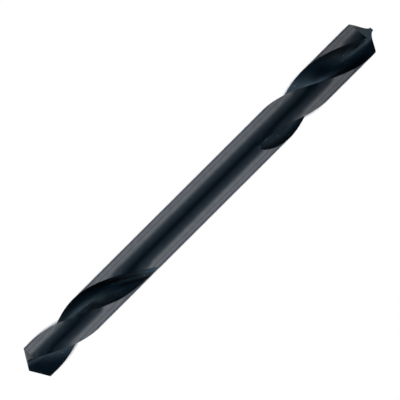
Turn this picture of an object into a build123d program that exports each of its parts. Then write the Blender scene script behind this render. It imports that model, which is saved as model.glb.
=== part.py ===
from build123d import *
from math import asin, ceil, cos, degrees, pi, radians, sin, sqrt, tan
import os

# Double-ended twist drill: one bar of high speed steel with a cutting end ground on each side.
# The bit lies along X with its middle at the origin, +Z up, and cuts with right-hand rotation.
# Sizes are in millimetres and degrees.

# Diameter across the cutting corners, and the length from tip to tip
diameter = 3.5
overall_length = 43.3

# Diameter of the plain middle, which a chuck grips: the lands taper back to it from the corners so
# that they don't bind in the hole.
body_diameter = 3.49

# Point, ground the same on both ends
point_angle = 118.0
web_at_point = 0.46

# Each flank is part of a cone that has the cutting lip as one of its lines. The cone's apex lies
# this far past the bit's axis, and the skew makes the flank fall away behind the lip.
flank_cone_angle = 96.0
flank_cone_reach = 1.1
flank_skew = 1.5

# Flutes, two on each end: the length runs from the tip, and the web grows by the taper for each
# millimetre until the flute runs out to the bar's surface
flute_length = 14.7
helix_angle = 27.7
web_taper = 0.085
runout_length = 4.0

# Form of one flute, square to the axis: a hollow rake face, a narrow floor, a rounded corner and
# a heel wall that leans outwards. The floor is turned ahead of the lip by the floor angle.
floor_angle = 73.3
rake_radius = 2.8
floor_width = 0.05
corner_radius = 0.75
heel_flare = 4.0

# The -X end is turned this far about the axis from the +X end.
end_turn = -84.0

# How far the cutters reach past the bar, and how closely their sections follow the helix
overrun = 0.6
turn_per_section = 12.0

# The seam of the bar's round faces is turned this far about the axis, so that it misses the
# cutting corners and leaves no sliver of a face beside them.
seam_turn = 45.0

radius = diameter / 2
body_radius = body_diameter / 2
half_point = radians(point_angle / 2)
half_web = web_at_point / 2
lead = pi * diameter / tan(radians(helix_angle))
lip_height = sqrt(radius**2 - half_web**2) / tan(half_point)
axis_x = Vector(1, 0, 0)


def radial(angle):
    """Unit vector square to the axis, turned by angle degrees from +Z in the cutting direction."""
    return Vector(0, -sin(radians(angle)), cos(radians(angle)))


def along_lip():
    """Unit vector along the upper lip of the +X end, from its middle to its outer corner."""
    return radial(0) * sin(half_point) - axis_x * cos(half_point)


def flank_axis():
    """Axis of the flank cone, pointing from its apex into the bit."""
    lean = half_point - radians(flank_cone_angle / 2)
    square = radial(0) * sin(lean) - axis_x * cos(lean)
    return square.rotate(Axis((0, 0, 0), along_lip()), flank_skew)


def chisel_drop():
    """How far the chisel edge lies below the level where the lips' lines pass the axis."""
    start = radial(90) * -half_web + along_lip() * flank_cone_reach
    inward = flank_axis()
    share = cos(radians(flank_cone_angle / 2)) ** 2
    a = inward.X**2 - share
    b = 2 * (start.X * share - start.dot(inward) * inward.X)
    c = start.dot(inward) ** 2 - share * start.dot(start)
    spread = sqrt(b * b - 4 * a * c)
    return min((-b - spread) / (2 * a), (-b + spread) / (2 * a), key=abs)


# Stations along the axis at the +X end
lips_x = overall_length / 2 + chisel_drop()
corner_x = lips_x - lip_height
flute_end_x = overall_length / 2 - flute_length


def flank_cone():
    """The cone whose surface is the flank behind the upper lip of the +X end."""
    apex = axis_x * lips_x + radial(90) * half_web - along_lip() * flank_cone_reach
    height = 2 * diameter
    base = height * tan(radians(flank_cone_angle / 2))
    cone = Cone(base, 0, height, align=(Align.CENTER, Align.CENTER, Align.MAX))
    return Plane(origin=apex, z_dir=-flank_axis()) * cone


def flank_cutter():
    """What the grinding wheel takes off behind one lip: the end of the bar outside the cone."""
    depth = lips_x + overrun - corner_x + overrun
    zone = Box(depth, 2 * diameter, 2 * diameter, align=(Align.MAX, Align.CENTER, Align.CENTER))
    return Pos(X=lips_x + overrun) * zone - flank_cone()


def floor_distance(x):
    """Distance from the axis to the flute's floor at the station x of the +X end."""
    runout_start = flute_end_x + runout_length
    if x >= runout_start:
        return half_web + web_taper / 2 * (corner_x - x)
    floor_at_start = half_web + web_taper / 2 * (corner_x - runout_start)
    rise = (body_radius - floor_at_start) / runout_length
    return floor_at_start + rise * (runout_start - x)


def flute_section(x):
    """Closed outline of the flute cutter, square to the axis at the station x."""
    angle = floor_angle + 360 * (x - corner_x) / lead
    plane = Plane(origin=axis_x * x, x_dir=-radial(angle + 90), z_dir=(1, 0, 0))
    floor = floor_distance(x)
    top = floor + radius + overrun
    reach = radius + overrun / 2
    sweep = degrees(asin(min(1, reach / rake_radius)))
    rake = JernArc((0, floor), (1, 0), rake_radius, sweep)
    flat = Line((0, floor), (-floor_width, floor))
    corner = JernArc(flat @ 1, (-1, 0), corner_radius, heel_flare - 90)
    rise = top - (corner @ 1).Y
    heel = Line(corner @ 1, corner @ 1 + Vector(-rise * tan(radians(heel_flare)), rise))
    lid = Polyline(heel @ 1, ((rake @ 1).X, top), rake @ 1)
    return plane.location * Wire([rake, flat, corner, heel] + lid.edges())


def flute_cutter():
    """One flute of the +X end, from past the tip to where its floor has left the bar."""
    first = lips_x + overrun
    last = flute_end_x - overrun
    count = ceil(360 * (first - last) / lead / turn_per_section)
    stations = [first + (last - first) * i / count for i in range(count + 1)]
    return Solid.make_loft([flute_section(x) for x in stations])


def end_cutters():
    """The cutters of the +X end: a flute and a flank for each of the two lips."""
    pair = [flute_cutter(), flank_cutter()]
    return [Rot(X=turn) * cutter for turn in (0, 180) for cutter in pair]


def blank():
    """The ground bar before its flutes: a plain round middle between two back-tapered ends."""
    end = lips_x + overrun
    slope = (radius - body_radius) / (corner_x - flute_end_x)
    wide = radius + slope * (end - corner_x)
    from_middle = (Align.CENTER, Align.CENTER, Align.MIN)
    taper = Pos(Z=flute_end_x) * Cone(body_radius, wide, end - flute_end_x, align=from_middle)
    upright = Cylinder(body_radius, 2 * flute_end_x) + taper + Rot(X=180) * taper
    return Rot(X=seam_turn) * Rot(Y=90) * upright


def drill_bit():
    """The whole bit: the blank with the same cutting end on both sides."""
    bit = blank()
    for cutter in end_cutters():
        bit -= cutter
        bit -= Rot(Z=180) * Rot(X=end_turn) * cutter
    return bit


os.makedirs("parts", exist_ok=True)
export_step(drill_bit(), "parts/drill_bit.step")
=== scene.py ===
import bpy
import logging
import math
from dataclasses import dataclass
from enum import Enum
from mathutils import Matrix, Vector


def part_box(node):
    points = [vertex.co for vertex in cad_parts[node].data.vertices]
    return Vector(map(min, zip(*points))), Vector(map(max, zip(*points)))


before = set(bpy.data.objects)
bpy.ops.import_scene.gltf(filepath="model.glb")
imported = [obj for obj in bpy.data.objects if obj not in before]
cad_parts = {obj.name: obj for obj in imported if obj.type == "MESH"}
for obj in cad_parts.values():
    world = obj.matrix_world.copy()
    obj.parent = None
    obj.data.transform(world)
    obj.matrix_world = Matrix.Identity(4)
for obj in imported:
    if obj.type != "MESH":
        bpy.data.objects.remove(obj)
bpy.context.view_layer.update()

log = logging.getLogger("drill_bit")

MM = 0.001
NODE = "drill_bit"

# The Mix node has inputs and outputs of the same name for numbers and for colours, so they are told
# apart by their places.
NUMBER_A, NUMBER_B = 2, 3
COLOUR_A, COLOUR_B = 6, 7
COLOUR_OUT = 2


class Ramp(Enum):
    """How a value passes from one level to the next."""

    STRAIGHT = "LINEAR"
    SOFT = "SMOOTHSTEP"


def linear(hex_colour: str) -> tuple[float, float, float, float]:
    """Turn an sRGB colour into the linear one that shaders and lamps work in.

    Args:
        hex_colour: six hex digits after a hash sign.

    Returns:
        Red, green, blue and alpha.
    """
    channels = [int(hex_colour[i:i + 2], 16) / 255 for i in (1, 3, 5)]
    # The numbers are those of the sRGB standard.
    flat = [c / 12.92 if c <= 0.04045 else ((c + 0.055) / 1.055) ** 2.4 for c in channels]
    return flat[0], flat[1], flat[2], 1.0


def add_node(tree: bpy.types.NodeTree, kind: str, inputs: dict[str | int, object],
             **settings: object) -> bpy.types.Node:
    """Add one shader node with its settings, and link or set its inputs.

    Args:
        tree: the node tree that gets it.
        kind: the node's type, without the word ShaderNode.
        inputs: for each socket's name or number, a value, the output socket that feeds it, or a
            node whose first output feeds it.
        settings: properties of the node itself, such as its operation.

    Returns:
        The new node.
    """
    node = tree.nodes.new("ShaderNode" + kind)
    for name, value in settings.items():
        setattr(node, name, value.value if isinstance(value, Enum) else value)
    for key, value in inputs.items():
        if isinstance(value, bpy.types.Node):
            tree.links.new(value.outputs[0], node.inputs[key])
        elif isinstance(value, bpy.types.NodeSocket):
            tree.links.new(value, node.inputs[key])
        else:
            node.inputs[key].default_value = value
    return node


@dataclass(frozen=True)
class BitForm:
    """The few sizes of the bit that its finish follows, in millimetres and degrees.

    The length and diameter come from the CAD node. The rest are the sizes that its flutes were cut
    by: the floor angle is the flute's turn ahead of the lip, the end turn is that of the -X end
    against the +X end, and the corner depth is how far the cutting corners lie behind the tip.
    """

    length: float
    diameter: float
    helix_angle: float = 27.7
    floor_angle: float = 73.3
    end_turn: float = -84.0
    corner_depth: float = 1.008

    @property
    def lead(self) -> float:
        """How far along the bit the flutes take for one turn."""
        return math.pi * self.diameter / math.tan(math.radians(self.helix_angle))

    @property
    def corner_x(self) -> float:
        """Station of the cutting corners, measured from the middle."""
        return self.length / 2 - self.corner_depth


@dataclass(frozen=True)
class FlutePlace:
    """Where a point lies on the bit, in millimetres, told alike for all four flutes but for its X.

    Square is its part square to the axis. The station is how far it is from the bit's middle along
    the axis, and the distance how far it is from the axis. Behind is how far across the flute it
    lies from the floor, towards the heel.
    """

    point: bpy.types.Node
    x: bpy.types.NodeSocket
    square: bpy.types.Node
    station: bpy.types.Node
    distance: bpy.types.NodeSocket
    behind: bpy.types.Node

    @classmethod
    def build(cls, tree: bpy.types.NodeTree, form: BitForm) -> "FlutePlace":
        """Work out the place from Object coordinates.

        Args:
            tree: the material's node tree.
            form: the sizes of the bit.

        Returns:
            The nodes and sockets that give each part of the place.
        """
        place = add_node(tree, "TexCoord", {})
        point = add_node(tree, "VectorMath", {0: place.outputs["Object"], "Scale": 1 / MM},
                         operation="SCALE")
        axes = add_node(tree, "SeparateXYZ", {0: point})
        x = axes.outputs["X"]
        square = add_node(tree, "VectorMath", {0: point, 1: (0, 1, 1)}, operation="MULTIPLY")
        distance = add_node(tree, "VectorMath", {0: square}, operation="LENGTH").outputs["Value"]
        station = add_node(tree, "Math", {0: x}, operation="ABSOLUTE")
        off_floor = cls.angle_off_floor(tree, form, axes, station)
        cosine = add_node(tree, "Math", {0: off_floor}, operation="COSINE")
        flute = add_node(tree, "Math", {0: cosine}, operation="SIGN")
        sine = add_node(tree, "Math", {0: off_floor}, operation="SINE")
        to_heel = add_node(tree, "Math", {0: sine, 1: flute}, operation="MULTIPLY")
        behind = add_node(tree, "Math", {0: to_heel, 1: distance}, operation="MULTIPLY")
        return cls(point, x, square, station, distance, behind)

    @staticmethod
    def angle_off_floor(tree: bpy.types.NodeTree, form: BitForm, axes: bpy.types.Node,
                        station: bpy.types.Node) -> bpy.types.Node:
        """Angle about the axis from the floor of one flute to the point.

        Args:
            tree: the material's node tree.
            form: the sizes of the bit.
            axes: the node that gives X, Y and Z in millimetres.
            station: the node that gives the distance from the middle along the axis.

        Returns:
            The node that gives the angle in radians.
        """
        down = add_node(tree, "Math", {0: axes.outputs["Y"], 1: -1.0}, operation="MULTIPLY")
        angle = add_node(tree, "Math", {0: down, 1: axes.outputs["Z"]}, operation="ARCTAN2")
        end = add_node(tree, "Math", {0: axes.outputs["X"]}, operation="SIGN")
        own_angle = add_node(tree, "Math", {0: angle, 1: end}, operation="MULTIPLY")
        other_end = add_node(tree, "Math", {0: axes.outputs["X"], 1: 0.0}, operation="LESS_THAN")
        turned = add_node(tree, "Math", {
            0: other_end, 1: math.radians(-form.end_turn), 2: own_angle}, operation="MULTIPLY_ADD")
        turn_per_mm = 2 * math.pi / form.lead
        floor_turn = math.radians(form.floor_angle) - form.corner_x * turn_per_mm
        helix = add_node(tree, "Math", {0: station, 1: turn_per_mm, 2: floor_turn},
                         operation="MULTIPLY_ADD")
        return add_node(tree, "Math", {0: turned, 1: helix}, operation="SUBTRACT")


@dataclass(frozen=True)
class Stripe:
    """A stripe along the crease of a run-out, in millimetres: a painted highlight where it is lighter,
    painted shade where it is darker.

    The offset is measured across the flute from the crease, and the reach is half the stripe's
    width. The shade is added to the tone, and grows over the stations from none to full.
    """

    offset: float
    reach: float
    shade: float
    none: float
    full: float


@dataclass(frozen=True)
class FilmAndShadeSpot:
    """A lighter or darker soft spot in a flute, in millimetres: partly an uneven film, and partly a
    painted glint where it is lighter and painted shade where it is darker.

    It lies at an X and a place across the flute, and reaches its length and width from there. The
    shade is added to the tone in its middle.
    """

    x: float
    behind: float
    length: float
    width: float
    shade: float


@dataclass(frozen=True)
class Zones:
    """Nodes that give 1 on the ground flanks of the points, and 1 in the milled flutes."""

    flank: bpy.types.Node
    milled: bpy.types.Node


@dataclass(frozen=True)
class BlackOxideSteel:
    """High speed steel, ground or milled and then blackened in steam.

    The thin oxide film leaves the metal's gloss but takes most of its light, with a cold blue cast.
    Sizes are in millimetres.
    """

    # The round skin is ground smooth before the steam: dark grey, glossy enough to mirror its
    # surround in long bands, and a little browner towards the +X end.
    ground_hex: str = "#6B6E72"
    browned_hex: str = "#5F5F62"
    browned_span: tuple[float, float] = (3.0, 16.9)
    ground_roughness: float = 0.23

    # The flutes are milled and take more oxide: blue-black, with a satin sheen in place of bands.
    milled_hex: str = "#414E57"
    milled_roughness: float = 0.43

    # The flanks of the points are ground last and keep less oxide: a lighter, neutral grey.
    flank_hex: str = "#95908A"
    flank_roughness: float = 0.28

    # At a grazing angle the film dims the metal's own bright rim.
    edge_tint_hex: str = "#949AA2"

    # A face is a flank where this share of it looks along the bit. It is skin where this share of
    # it looks straight out from the axis, further out than the radius.
    flank_facing: float = 0.55
    skin_facing: float = 0.985
    skin_radius: float = 1.7

    # The run-outs, inwards of these stations, are rougher than the flutes, and their colour is darker by
    # a painted shade.
    runout_span: tuple[float, float] = (9.0, 11.5)
    runout_painted_shade: float = 0.59
    runout_roughness: float = 0.61

    # In the run-outs of the -X end the cutter left a crease, from a station and a place across the
    # flute on, and a facet beside it. This model's form lacks both, so their highlights and shade are
    # painted as stripes of tone only, without relief, and fade out over a span of X.
    crease_start: tuple[float, float] = (10.5, -0.02)
    crease_slope: float = 0.222
    crease_fade: tuple[float, float] = (-12.5, -11.0)
    stripes: tuple[Stripe, ...] = (
        Stripe(-0.7, 0.25, 0.45, 8.5, 9.5), Stripe(-0.28, 0.25, -0.6, 11.0, 10.0),
        Stripe(0.04, 0.15, 0.6, 11.2, 10.2), Stripe(0.36, 0.26, -0.5, 8.3, 9.5),
        Stripe(0.6, 0.6, 2.2, 9.0, 7.4))

    # Soft lighter and darker spots in the flutes, placed and shaded to match the photograph, the
    # same in both flutes of an end. They stand partly for an uneven film, and partly are painted
    # glints and painted shade that the finer form of the real flutes gives and this model's form doesn't.
    film_and_shade_spots: tuple[FilmAndShadeSpot, ...] = (
        FilmAndShadeSpot(13.1, -0.1, 0.9, 0.5, 0.6), FilmAndShadeSpot(13.7, -0.15, 1.0, 0.35, 0.6),
        FilmAndShadeSpot(14.4, 0.25, 1.8, 0.6, 0.9), FilmAndShadeSpot(15.4, 0.5, 0.9, 0.35, 0.45),
        FilmAndShadeSpot(15.6, -0.4, 1.4, 0.7, -0.5), FilmAndShadeSpot(17.2, 0.3, 1.2, 0.35, -0.25),
        FilmAndShadeSpot(17.3, -1.3, 1.4, 0.6, -0.4), FilmAndShadeSpot(18.4, -0.75, 1.1, 0.5, -0.5),
        FilmAndShadeSpot(18.1, 0.05, 1.5, 0.45, 0.55), FilmAndShadeSpot(19.5, -0.25, 0.8, 0.4, -0.35),
        FilmAndShadeSpot(19.6, -1.2, 0.8, 0.5, 0.3), FilmAndShadeSpot(20.5, 0.1, 0.6, 0.5, 0.4),
        FilmAndShadeSpot(-14.5, -0.4, 0.9, 1.0, 0.7), FilmAndShadeSpot(-13.4, -0.45, 0.9, 0.5, -0.45),
        FilmAndShadeSpot(-13.5, -1.1, 0.7, 0.35, 0.6), FilmAndShadeSpot(-12.2, -0.6, 1.2, 0.6, -0.3),
        FilmAndShadeSpot(-11.8, 0.55, 1.7, 0.4, -0.5), FilmAndShadeSpot(-11.5, -1.45, 2.3, 0.45, -0.7),
        FilmAndShadeSpot(-10.5, 0.3, 1.3, 0.35, -0.4), FilmAndShadeSpot(-11.6, -0.85, 0.9, 0.4, -0.25),
        FilmAndShadeSpot(-19.1, 0.0, 1.7, 0.5, 0.5), FilmAndShadeSpot(-21.4, 0.0, 0.5, 1.2, 0.3))

    # Feed marks: one fine ridge across the flute for each 0.215 mm that the cutter was fed. They
    # lean and curve with the cutter, lie between the floor and the heel, and show on one span of
    # each end only, the left one being the -X end. Their depth gives them relief, and their shade
    # paints the ribbed glint on the flutes into the colour, lighter on each ridge and darker between.
    feed_pitch: float = 0.215
    feed_lean: float = -0.2
    feed_curve: float = -0.4
    feed_depth: float = 0.007
    feed_painted_glint: float = 0.4
    feed_rise: tuple[float, float] = (-0.4, 0.05)
    feed_fall: tuple[float, float] = (0.5, 0.85)
    left_feed_in: tuple[float, float] = (-17.0, -15.5)
    left_feed_out: tuple[float, float] = (-10.5, -12.0)
    right_feed_in: tuple[float, float] = (13.5, 16.0)

    # Wear shows as beige steel: the film is rubbed off in patches about half a millimetre long at
    # the flutes' edges, and chips leave round specks, one in some of the cells of the spacing.
    worn_hex: str = "#8F8C85"
    wear_radius: float = 1.74
    wear_width: float = 0.1
    wear_strength: float = 0.7
    wear_size: float = 0.5
    wear_detail: float = 3.0
    wear_grain: float = 0.7
    wear_level: tuple[float, float] = (0.55, 0.62)
    speck_spacing: float = 0.42
    speck_radius: float = 0.08
    speck_share: float = 0.3

    # A faint cloudiness of the film, a little lighter and darker every 0.6 mm
    mottle_size: float = 0.6
    mottle_detail: float = 3.0
    mottle_grain: float = 0.6
    mottle_level: tuple[float, float] = (0.3, 0.7)
    mottle_shade: float = 0.1

    # Grinding lines run around the bit. Real ones are about 0.01 mm apart, too fine to show, so they
    # are drawn 0.12 mm apart, and fray the edges of the mirrored bands.
    grind_pitch: float = 0.12
    grind_length: float = 2.0
    grind_detail: float = 2.0
    grind_depth: float = 0.0006

    def build(self, form: BitForm) -> bpy.types.Material:
        """Make the material.

        Args:
            form: the sizes of the bit that the finish follows.

        Returns:
            The finished material.
        """
        material = bpy.data.materials.new("steam_blackened_tool_steel")
        material.use_nodes = True
        tree = material.node_tree
        tree.nodes.clear()
        place = FlutePlace.build(tree, form)
        zones = self.zones(tree, place)
        feed = self.feed_marks(tree, place, zones)
        shader = add_node(tree, "BsdfPrincipled", {
            "Base Color": self.colour(tree, place, zones, feed), "Metallic": 1.0,
            "Roughness": self.roughness(tree, place, zones),
            "Specular Tint": linear(self.edge_tint_hex), "Normal": self.relief(tree, place, feed)})
        add_node(tree, "OutputMaterial", {"Surface": shader})
        return material

    def zones(self, tree: bpy.types.NodeTree, place: FlutePlace) -> Zones:
        """Tell the ground flanks and the milled flutes from the ground skin by the way each faces.

        Only a flank looks along the bit, and the walls of a flute don't look straight out from the
        axis as the skin does.

        Args:
            tree: the material's node tree.
            place: where a point lies on the bit.

        Returns:
            The nodes that tell each zone.
        """
        normal = add_node(tree, "TexCoord", {}).outputs["Normal"]
        facing = add_node(tree, "SeparateXYZ", {0: normal})
        along = add_node(tree, "Math", {0: facing.outputs["X"]}, operation="ABSOLUTE")
        flank = add_node(tree, "Math", {0: along, 1: self.flank_facing}, operation="GREATER_THAN")
        out = add_node(tree, "VectorMath", {0: place.square}, operation="NORMALIZE")
        outwards = add_node(tree, "VectorMath", {0: normal, 1: out}, operation="DOT_PRODUCT")
        straight_out = add_node(tree, "Math", {0: outwards.outputs["Value"], 1: self.skin_facing},
                                operation="GREATER_THAN")
        outside = add_node(tree, "Math", {0: place.distance, 1: self.skin_radius},
                           operation="GREATER_THAN")
        skin = add_node(tree, "Math", {0: straight_out, 1: outside}, operation="MULTIPLY")
        ground = add_node(tree, "Math", {0: flank, 1: skin}, operation="MAXIMUM")
        milled = add_node(tree, "Math", {0: 1.0, 1: ground}, operation="SUBTRACT")
        return Zones(flank, milled)

    def roughness(self, tree: bpy.types.NodeTree, place: FlutePlace, zones: Zones) -> bpy.types.Node:
        """How rough each zone is, and the flutes towards their run-outs.

        Args:
            tree: the material's node tree.
            place: where a point lies on the bit.
            zones: the nodes that tell the zones.

        Returns:
            The node that gives the roughness.
        """
        flute = add_node(tree, "MapRange", {
            "Value": place.station, "From Min": self.runout_span[0], "From Max": self.runout_span[1],
            "To Min": self.runout_roughness, "To Max": self.milled_roughness},
            interpolation_type=Ramp.STRAIGHT)
        body = add_node(tree, "Mix", {
            "Factor": zones.milled, NUMBER_A: self.ground_roughness, NUMBER_B: flute})
        return add_node(tree, "Mix", {
            "Factor": zones.flank, NUMBER_A: body, NUMBER_B: self.flank_roughness})

    def colour(self, tree: bpy.types.NodeTree, place: FlutePlace, zones: Zones,
               feed: bpy.types.Node) -> bpy.types.NodeSocket:
        """Colour of the steel, from its zones, its tone, the painted glint of the feed marks and its
        wear.

        Args:
            tree: the material's node tree.
            place: where a point lies on the bit.
            zones: the nodes that tell the zones.
            feed: the node that gives the feed marks' height.

        Returns:
            The socket that gives the colour.
        """
        to_end = add_node(tree, "MapRange", {
            "Value": place.x, "From Min": self.browned_span[0], "From Max": self.browned_span[1]},
            interpolation_type=Ramp.SOFT)
        ground = add_node(tree, "Mix", {
            "Factor": to_end, COLOUR_A: linear(self.ground_hex), COLOUR_B: linear(self.browned_hex)},
            data_type="RGBA")
        body = add_node(tree, "Mix", {
            "Factor": zones.milled, COLOUR_A: ground.outputs[COLOUR_OUT],
            COLOUR_B: linear(self.milled_hex)}, data_type="RGBA")
        steel = add_node(tree, "Mix", {
            "Factor": zones.flank, COLOUR_A: body.outputs[COLOUR_OUT],
            COLOUR_B: linear(self.flank_hex)}, data_type="RGBA")
        tone = self.tone(tree, place, zones)
        # The feed marks' painted glint: the colour is lighter on each ridge and darker between them.
        tone_and_glint = add_node(tree, "Math", {0: feed, 1: self.feed_painted_glint, 2: tone},
                          operation="MULTIPLY_ADD")
        shaded = add_node(tree, "VectorMath", {0: steel.outputs[COLOUR_OUT], "Scale": tone_and_glint},
                          operation="SCALE")
        worn = add_node(tree, "Mix", {
            "Factor": self.wear(tree, place, zones), COLOUR_A: shaded,
            COLOUR_B: linear(self.worn_hex)}, data_type="RGBA")
        return worn.outputs[COLOUR_OUT]

    def tone(self, tree: bpy.types.NodeTree, place: FlutePlace, zones: Zones) -> bpy.types.Node:
        """How light or dark the steel is: cloudy all over from the film, and uneven in the flutes, where
        the run-outs are darker by a painted shade and the crease and the soft spots add painted
        highlights and shade, the spots partly an uneven film too.

        Args:
            tree: the material's node tree.
            place: where a point lies on the bit.
            zones: the nodes that tell the zones.

        Returns:
            The node that gives the factor by which the colour is scaled.
        """
        cloud = add_node(tree, "TexNoise", {
            "Vector": place.point, "Scale": 1 / self.mottle_size, "Detail": self.mottle_detail,
            "Roughness": self.mottle_grain})
        mottle = add_node(tree, "MapRange", {
            "Value": cloud, "From Min": self.mottle_level[0], "From Max": self.mottle_level[1],
            "To Min": 1 - self.mottle_shade, "To Max": 1 + self.mottle_shade},
            interpolation_type=Ramp.STRAIGHT)
        # Painted shade: the flutes' colour darkens towards the run-outs.
        runout = add_node(tree, "MapRange", {
            "Value": place.station, "From Min": self.runout_span[0], "From Max": self.runout_span[1],
            "To Min": self.runout_painted_shade, "To Max": 1.0}, interpolation_type=Ramp.SOFT)
        in_flute = add_node(tree, "Math", {0: runout, 1: self.flute_tone(tree, place)},
                            operation="MULTIPLY")
        body = add_node(tree, "Mix", {"Factor": zones.milled, NUMBER_A: 1.0, NUMBER_B: in_flute})
        return add_node(tree, "Math", {0: mottle, 1: body}, operation="MULTIPLY")

    def flute_tone(self, tree: bpy.types.NodeTree, place: FlutePlace) -> bpy.types.Node:
        """How the painted highlights and shade of the crease, and the soft spots of film and painted
        glint and shade, lighten and darken the flutes.

        Args:
            tree: the material's node tree.
            place: where a point lies on the bit.

        Returns:
            The node that gives the tone, 1 away from the crease and the spots.
        """
        tone = add_node(tree, "Math", {0: self.crease_painted_light(tree, place), 1: 1.0}, operation="ADD")
        spot = add_node(tree, "CombineXYZ", {0: place.x, 1: place.behind})
        # Each spot adds its painted glint or shade, and its share of uneven film, to the tone.
        for shade_spot in self.film_and_shade_spots:
            away = add_node(tree, "Mapping", {
                "Vector": spot, "Location": (shade_spot.x, shade_spot.behind, 0),
                "Scale": (shade_spot.length, shade_spot.width, 1)}, vector_type="TEXTURE")
            far = add_node(tree, "VectorMath", {0: away}, operation="LENGTH")
            near = add_node(tree, "MapRange", {
                "Value": far.outputs["Value"], "To Min": shade_spot.shade, "To Max": 0.0},
                interpolation_type=Ramp.SOFT)
            tone = add_node(tree, "Math", {0: near, 1: tone}, operation="ADD")
        return tone

    def crease_painted_light(self, tree: bpy.types.NodeTree, place: FlutePlace) -> bpy.types.Node:
        """Stripes of painted highlight and shade along the crease and the facet in the run-outs of the -X
        end.

        Args:
            tree: the material's node tree.
            place: where a point lies on the bit.

        Returns:
            The node that gives the tone to be added, 0 away from the crease.
        """
        start_station, start_behind = self.crease_start
        crease = add_node(tree, "Math", {
            0: place.station, 1: self.crease_slope,
            2: start_behind - self.crease_slope * start_station}, operation="MULTIPLY_ADD")
        offset = add_node(tree, "Math", {0: place.behind, 1: crease}, operation="SUBTRACT")
        tone: float | bpy.types.Node = 0.0
        for stripe in self.stripes:
            away = add_node(tree, "Math", {0: offset, 1: stripe.offset}, operation="SUBTRACT")
            apart = add_node(tree, "Math", {0: away}, operation="ABSOLUTE")
            near = add_node(tree, "MapRange", {
                "Value": apart, "From Max": stripe.reach, "To Min": stripe.shade, "To Max": 0.0},
                interpolation_type=Ramp.SOFT)
            along = add_node(tree, "MapRange", {
                "Value": place.station, "From Min": stripe.none, "From Max": stripe.full},
                interpolation_type=Ramp.SOFT)
            tone = add_node(tree, "Math", {0: near, 1: along, 2: tone}, operation="MULTIPLY_ADD")
        inwards = add_node(tree, "MapRange", {
            "Value": place.x, "From Min": self.crease_fade[0], "From Max": self.crease_fade[1]},
            interpolation_type=Ramp.SOFT)
        this_end = add_node(tree, "Math", {0: place.x, 1: 0.0}, operation="LESS_THAN")
        share = add_node(tree, "Math", {0: inwards, 1: this_end}, operation="MULTIPLY")
        return add_node(tree, "Math", {0: tone, 1: share}, operation="MULTIPLY")

    def wear(self, tree: bpy.types.NodeTree, place: FlutePlace, zones: Zones) -> bpy.types.Node:
        """Where the film is gone: patches along the flutes' edges, and specks in the flutes.

        Args:
            tree: the material's node tree.
            place: where a point lies on the bit.
            zones: the nodes that tell the zones.

        Returns:
            The node that gives the share of bare steel.
        """
        to_edge = add_node(tree, "MapRange", {
            "Value": place.distance, "From Min": self.wear_radius - self.wear_width,
            "From Max": self.wear_radius}, interpolation_type=Ramp.SOFT)
        cloud = add_node(tree, "TexNoise", {
            "Vector": place.point, "Scale": 1 / self.wear_size, "Detail": self.wear_detail,
            "Roughness": self.wear_grain})
        rubbed = add_node(tree, "MapRange", {
            "Value": cloud, "From Min": self.wear_level[0], "From Max": self.wear_level[1]},
            interpolation_type=Ramp.STRAIGHT)
        patch = add_node(tree, "Math", {0: to_edge, 1: rubbed}, operation="MULTIPLY")
        cells = add_node(tree, "TexVoronoi", {
            "Vector": place.point, "Scale": 1 / self.speck_spacing, "Randomness": 1.0})
        # A speck is bare from half its radius inwards.
        rim = self.speck_radius / self.speck_spacing
        dot = add_node(tree, "MapRange", {
            "Value": cells.outputs["Distance"], "From Min": rim, "From Max": rim / 2},
            interpolation_type=Ramp.STRAIGHT)
        draw = add_node(tree, "SeparateXYZ", {0: cells.outputs["Color"]})
        chipped = add_node(tree, "Math", {0: draw.outputs["X"], 1: self.speck_share},
                           operation="LESS_THAN")
        speck = add_node(tree, "Math", {0: dot, 1: chipped}, operation="MULTIPLY")
        both = add_node(tree, "Math", {0: patch, 1: speck}, operation="MAXIMUM")
        share = add_node(tree, "Math", {0: both, 1: self.wear_strength}, operation="MULTIPLY")
        return add_node(tree, "Math", {0: share, 1: zones.milled}, operation="MULTIPLY")

    def feed_marks(self, tree: bpy.types.NodeTree, place: FlutePlace, zones: Zones) -> bpy.types.Node:
        """The cutter's feed marks, as ridges across the flutes.

        Args:
            tree: the material's node tree.
            place: where a point lies on the bit.
            zones: the nodes that tell the zones.

        Returns:
            The node that gives the marks' height, from -1 to 1.
        """
        slope = add_node(tree, "Math", {0: place.behind, 1: self.feed_curve, 2: self.feed_lean},
                         operation="MULTIPLY_ADD")
        along = add_node(tree, "Math", {0: place.behind, 1: slope, 2: place.station},
                         operation="MULTIPLY_ADD")
        turns = add_node(tree, "Math", {0: along, 1: 2 * math.pi / self.feed_pitch},
                         operation="MULTIPLY")
        ridge = add_node(tree, "Math", {0: turns}, operation="SINE")
        rising = add_node(tree, "MapRange", {
            "Value": place.behind, "From Min": self.feed_rise[0], "From Max": self.feed_rise[1]},
            interpolation_type=Ramp.SOFT)
        falling = add_node(tree, "MapRange", {
            "Value": place.behind, "From Min": self.feed_fall[1], "From Max": self.feed_fall[0]},
            interpolation_type=Ramp.SOFT)
        band = add_node(tree, "Math", {0: rising, 1: falling}, operation="MULTIPLY")
        left_in, left_out, right = [
            add_node(tree, "MapRange", {"Value": place.x, "From Min": none, "From Max": full},
                     interpolation_type=Ramp.SOFT)
            for none, full in (self.left_feed_in, self.left_feed_out, self.right_feed_in)]
        left = add_node(tree, "Math", {0: left_in, 1: left_out}, operation="MULTIPLY")
        spans = add_node(tree, "Math", {0: left, 1: right}, operation="ADD")
        in_flute = add_node(tree, "Math", {0: zones.milled, 1: band}, operation="MULTIPLY")
        share = add_node(tree, "Math", {0: in_flute, 1: spans}, operation="MULTIPLY")
        return add_node(tree, "Math", {0: ridge, 1: share}, operation="MULTIPLY")

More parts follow.
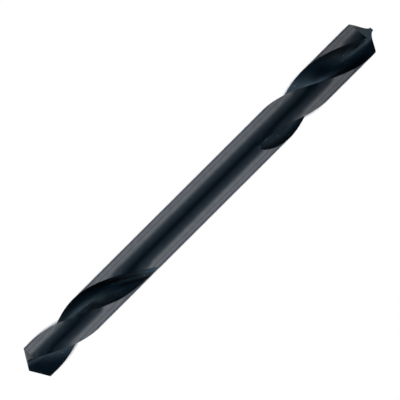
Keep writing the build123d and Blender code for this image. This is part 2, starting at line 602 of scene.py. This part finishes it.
    def relief(self, tree: bpy.types.NodeTree, place: FlutePlace, feed: bpy.types.Node) -> bpy.types.Node:
        """Fine relief of the feed marks and the grinding lines.

        Args:
            tree: the material's node tree.
            place: where a point lies on the bit.
            feed: the node that gives the feed marks' height.

        Returns:
            The node that gives the normal.
        """
        # The marks' height runs from -1 to 1, so its unit is half their depth.
        ridges = add_node(tree, "Bump", {"Height": feed, "Distance": self.feed_depth * MM / 2})
        around = 1 / self.grind_length
        hoop = add_node(tree, "VectorMath", {0: place.point, 1: (1 / self.grind_pitch, around, around)},
                        operation="MULTIPLY")
        grinding = add_node(tree, "TexNoise", {
            "Vector": hoop, "Scale": 1.0, "Detail": self.grind_detail})
        return add_node(tree, "Bump", {
            "Height": grinding, "Distance": self.grind_depth * MM, "Normal": ridges})


@dataclass(frozen=True)
class DrillBit:
    """The bit: the one CAD node, which keeps its shape and gets its finish."""

    finish: BlackOxideSteel = BlackOxideSteel()

    def dress(self) -> float:
        """Give the CAD node its finish.

        Returns:
            The level of the bit's underside, in millimetres.
        """
        low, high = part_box(NODE)
        form = BitForm(length=(high.x - low.x) / MM, diameter=(high.z - low.z) / MM)
        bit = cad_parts[NODE]
        bit.material_slots[0].material = self.finish.build(form)
        log.info("%s: %.2f mm long, %.2f mm across", NODE, form.length, form.diameter)
        return low.z / MM


def polar_angle(elevation: float) -> float:
    """Angle from straight up, in radians, of a direction at that elevation in degrees."""
    return math.radians(90 - elevation)


@dataclass(frozen=True)
class Panel:
    """A soft white panel beside the bit, in degrees.

    Its middle lies at the azimuth, counted from -Y towards +X. Its light is full up to the full
    reach on both sides of that, and gone at the end reach. The share of light stops at 1, so a
    strength over 1 makes the full part a little wider.
    """

    azimuth: float
    full_reach: float
    end_reach: float
    strength: float

    def share(self, tree: bpy.types.NodeTree, direction: bpy.types.NodeSocket,
              level: bpy.types.Node) -> bpy.types.Node:
        """How much of the panel's light comes from a direction.

        Args:
            tree: the world's node tree.
            direction: the direction looked in.
            level: the length of its level part.

        Returns:
            The node that gives the share.
        """
        turn = math.radians(self.azimuth)
        middle = (math.sin(turn), -math.cos(turn), 0)
        along = add_node(tree, "VectorMath", {0: direction, 1: middle}, operation="DOT_PRODUCT")
        facing = add_node(tree, "Math", {0: along.outputs["Value"], 1: level}, operation="DIVIDE")
        return add_node(tree, "MapRange", {
            "Value": facing, "From Min": math.cos(math.radians(self.end_reach)),
            "From Max": math.cos(math.radians(self.full_reach)), "To Max": self.strength},
            interpolation_type=Ramp.SOFT)


@dataclass(frozen=True)
class Studio:
    """The plain pale floor, the soft light and the camera, in millimetres and degrees.

    The values of the light from the sides and the ends were tuned to the bands that the photograph
    shows along the bit.
    """

    # Level of the bit's underside
    underside: float

    # The camera looks straight down, with a view this wide at the bit. It is moved a little along
    # the bit and turned by the roll, and shows what lies between the two distances of its clip.
    view_width: float = 35.77
    camera_height: float = 300.0
    camera_shift: float = -0.05
    roll: float = -44.895
    clip: tuple[float, float] = (10.0, 10000.0)

    # Light from the sides, by elevation: it grows slowly by the slope for each radian down from
    # straight up, a panel adds its own light from the upper to the lower edge of its rise, and the
    # gap between panel and floor is dimmer.
    side_slope: float = 0.23
    panel_light: float = 0.654
    panel_rise: tuple[float, float] = (40.7, 14.0)
    gap_elevation: float = -3.4
    gap_reach: tuple[float, float] = (3.3, 8.3)
    gap_light: float = 0.549
    panels: tuple[Panel, ...] = (Panel(2.2, 25.0, 42.7, 1.2), Panel(199.9, 11.0, 57.9, 1.01))

    # Light from the bit's ends: dimmer and bluer, between two levels at two elevations, and never
    # more than a share of what the sides give there.
    end_light: tuple[float, float] = (0.073, 0.246)
    end_rise: tuple[float, float] = (5.0, -50.0)
    end_share: float = 0.608
    end_tint: tuple[float, float, float] = (0.8, 0.93, 1.0)

    # Dim light is bluer than bright light: each channel's power, and the little that is added to it
    dimming: tuple[float, float, float] = (1.14, 1.0, 0.938)
    haze: tuple[float, float, float] = (0.0, 0.0084, 0.0248)

    # Plain uncoated paper is dull and white from every side. The sheet lies clear of the bit, which
    # is held by its shank, because paper that touched it would light up its underside. It has a lamp
    # of its own.
    paper_hex: str = "#FCFCFC"
    sheet_drop: float = 12.0
    sheet_size: float = 60.0
    lamp_height: float = 1000.0
    lamp_size: float = 24.0
    lamp_power: float = 9.1
    lamp_hex: str = "#FFFAF6"

    def build(self) -> None:
        """Set up the light, the floor and the camera."""
        self.world()
        log.info("world: %d soft panels", len(self.panels))
        self.floor()
        log.info("floor: paper %.0f mm across, %.0f mm below the bit", self.sheet_size, self.sheet_drop)
        self.lamp()
        log.info("lamp: %.0f mm up", self.lamp_height)
        self.camera()
        log.info("camera: %.0f mm up", self.camera_height)

    def world(self) -> None:
        """Soft light from a panel on each side, which the round bit mirrors as bands along it.

        The camera and what shows through glass see plain white. The metal keeps the panels,
        because a glossy bar in an even white surround shows no bands.
        """
        world = bpy.data.worlds.new("studio")
        bpy.context.scene.world = world
        world.use_nodes = True
        tree = world.node_tree
        tree.nodes.clear()
        direction = add_node(tree, "TexCoord", {}).outputs["Generated"]
        height = add_node(tree, "SeparateXYZ", {0: direction}).outputs["Z"]
        polar = add_node(tree, "Math", {0: height}, operation="ARCCOSINE")
        share = self.panel_share(tree, direction, height)
        sides = self.side_light(tree, polar)
        colour = self.light_colour(tree, share, self.light_of_ends(tree, polar, sides), sides)
        lit = add_node(tree, "Background", {"Color": colour, "Strength": 1.0})
        seen = add_node(tree, "Background", {"Color": linear("#FFFFFF"), "Strength": 1.0})
        path = add_node(tree, "LightPath", {})
        looked_at = add_node(tree, "Math", {
            0: path.outputs["Is Camera Ray"], 1: path.outputs["Is Transmission Ray"]},
            operation="MAXIMUM")
        mix = add_node(tree, "MixShader", {0: looked_at, 1: lit, 2: seen})
        add_node(tree, "OutputWorld", {"Surface": mix})

    def panel_share(self, tree: bpy.types.NodeTree, direction: bpy.types.NodeSocket,
                    height: bpy.types.NodeSocket) -> bpy.types.Node:
        """How far a direction points at one of the panels.

        Args:
            tree: the world's node tree.
            direction: the direction looked in.
            height: its upward part.

        Returns:
            The node that gives the share, 0 towards the bit's ends.
        """
        # A little over 1, so that straight up and straight down are no division by nothing.
        whole = 1.0001
        height_square = add_node(tree, "Math", {0: height, 1: 2.0}, operation="POWER")
        level_square = add_node(tree, "Math", {0: whole, 1: height_square}, operation="SUBTRACT")
        level = add_node(tree, "Math", {0: level_square}, operation="SQRT")
        near, far = [panel.share(tree, direction, level) for panel in self.panels]
        return add_node(tree, "Math", {0: near, 1: far}, operation="ADD")

    def side_light(self, tree: bpy.types.NodeTree, polar: bpy.types.Node) -> bpy.types.Node:
        """Light from the sides at each elevation.

        Args:
            tree: the world's node tree.
            polar: the node that gives the angle from straight up.

        Returns:
            The node that gives the light.
        """
        top, bottom = self.panel_rise
        panel = add_node(tree, "MapRange", {
            "Value": polar, "From Min": polar_angle(top), "From Max": polar_angle(bottom),
            "To Max": self.panel_light}, interpolation_type=Ramp.SOFT)
        full = add_node(tree, "Math", {0: polar, 1: self.side_slope, 2: panel},
                        operation="MULTIPLY_ADD")
        capped = add_node(tree, "Math", {0: full, 1: 1.0}, operation="MINIMUM")
        off_gap = add_node(tree, "Math", {0: polar, 1: polar_angle(self.gap_elevation)},
                           operation="SUBTRACT")
        from_gap = add_node(tree, "Math", {0: off_gap}, operation="ABSOLUTE")
        gap = add_node(tree, "MapRange", {
            "Value": from_gap, "From Min": math.radians(self.gap_reach[0]),
            "From Max": math.radians(self.gap_reach[1]), "To Min": self.gap_light, "To Max": 1.0},
            interpolation_type=Ramp.SOFT)
        return add_node(tree, "Math", {0: capped, 1: gap}, operation="MULTIPLY")

    def light_of_ends(self, tree: bpy.types.NodeTree, polar: bpy.types.Node,
                      sides: bpy.types.Node) -> bpy.types.Node:
        """Light from beyond the bit's ends at each elevation.

        Args:
            tree: the world's node tree.
            polar: the node that gives the angle from straight up.
            sides: the node that gives the light from the sides.

        Returns:
            The node that gives the light.
        """
        top, bottom = self.end_rise
        low_end = add_node(tree, "MapRange", {
            "Value": polar, "From Min": polar_angle(top), "From Max": polar_angle(bottom),
            "To Min": self.end_light[0], "To Max": self.end_light[1]},
            interpolation_type=Ramp.STRAIGHT)
        dimmed = add_node(tree, "Math", {0: sides, 1: self.end_share}, operation="MULTIPLY")
        return add_node(tree, "Math", {0: low_end, 1: dimmed}, operation="MINIMUM")

    def light_colour(self, tree: bpy.types.NodeTree, share: bpy.types.Node, ends: bpy.types.Node,
                     sides: bpy.types.Node) -> bpy.types.Node:
        """Colour of the light from the ends and the sides together.

        Args:
            tree: the world's node tree.
            share: the node that gives how far a direction points at a panel.
            ends: the node that gives the light from the ends.
            sides: the node that gives the light from the sides.

        Returns:
            The node that gives the colour.
        """
        light = add_node(tree, "Mix", {"Factor": share, NUMBER_A: ends, NUMBER_B: sides})
        channels = []
        for power, tint in zip(self.dimming, self.end_tint):
            curved = add_node(tree, "Math", {0: light, 1: power}, operation="POWER")
            cast = add_node(tree, "Mix", {"Factor": share, NUMBER_A: tint, NUMBER_B: 1.0})
            channels.append(add_node(tree, "Math", {0: curved, 1: cast}, operation="MULTIPLY"))
        colour = add_node(tree, "CombineColor", dict(enumerate(channels)))
        return add_node(tree, "VectorMath", {0: colour, 1: self.haze}, operation="ADD")

    def floor(self) -> None:
        """A sheet of white paper below the bit, which keeps its shadow."""
        bpy.ops.mesh.primitive_plane_add(
            size=self.sheet_size * MM, location=(0, 0, (self.underside - self.sheet_drop) * MM))
        bpy.ops.object.transform_apply(location=True, rotation=True, scale=True)
        floor = bpy.context.active_object
        floor.name = "floor"
        material = bpy.data.materials.new("white_paper")
        material.use_nodes = True
        tree = material.node_tree
        tree.nodes.clear()
        paper = add_node(tree, "BsdfDiffuse", {"Color": linear(self.paper_hex)})
        add_node(tree, "OutputMaterial", {"Surface": paper})
        floor.data.materials.append(material)

    def lamp(self) -> None:
        """A round soft lamp behind the camera, which lights the paper and isn't mirrored in the bit."""
        data = bpy.data.lights.new("paper_light", "AREA")
        data.shape = "DISK"
        data.size = self.lamp_size * MM
        data.energy = self.lamp_power
        data.color = linear(self.lamp_hex)[:3]
        lamp = bpy.data.objects.new("paper_light", data)
        lamp.location = (0, 0, self.lamp_height * MM)
        lamp.visible_glossy = False
        bpy.context.scene.collection.objects.link(lamp)

    def camera(self) -> None:
        """Camera straight above the bit, turned so that its +X end points to the upper right."""
        data = bpy.data.cameras.new("camera")
        data.lens = self.camera_height * data.sensor_width / self.view_width
        data.clip_start, data.clip_end = [limit * MM for limit in self.clip]
        camera = bpy.data.objects.new("camera", data)
        camera.location = (self.camera_shift * MM, 0, self.camera_height * MM)
        camera.rotation_euler = (0, 0, math.radians(self.roll))
        bpy.context.scene.collection.objects.link(camera)
        bpy.context.scene.camera = camera


def main() -> None:
    """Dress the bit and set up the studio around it."""
    logging.basicConfig(level=logging.INFO, format="%(name)s: %(message)s")
    bpy.ops.object.select_all(action="DESELECT")
    bpy.context.scene.view_settings.view_transform = "Standard"
    underside = DrillBit().dress()
    Studio(underside=underside).build()


if __name__ == "__main__":
    main()
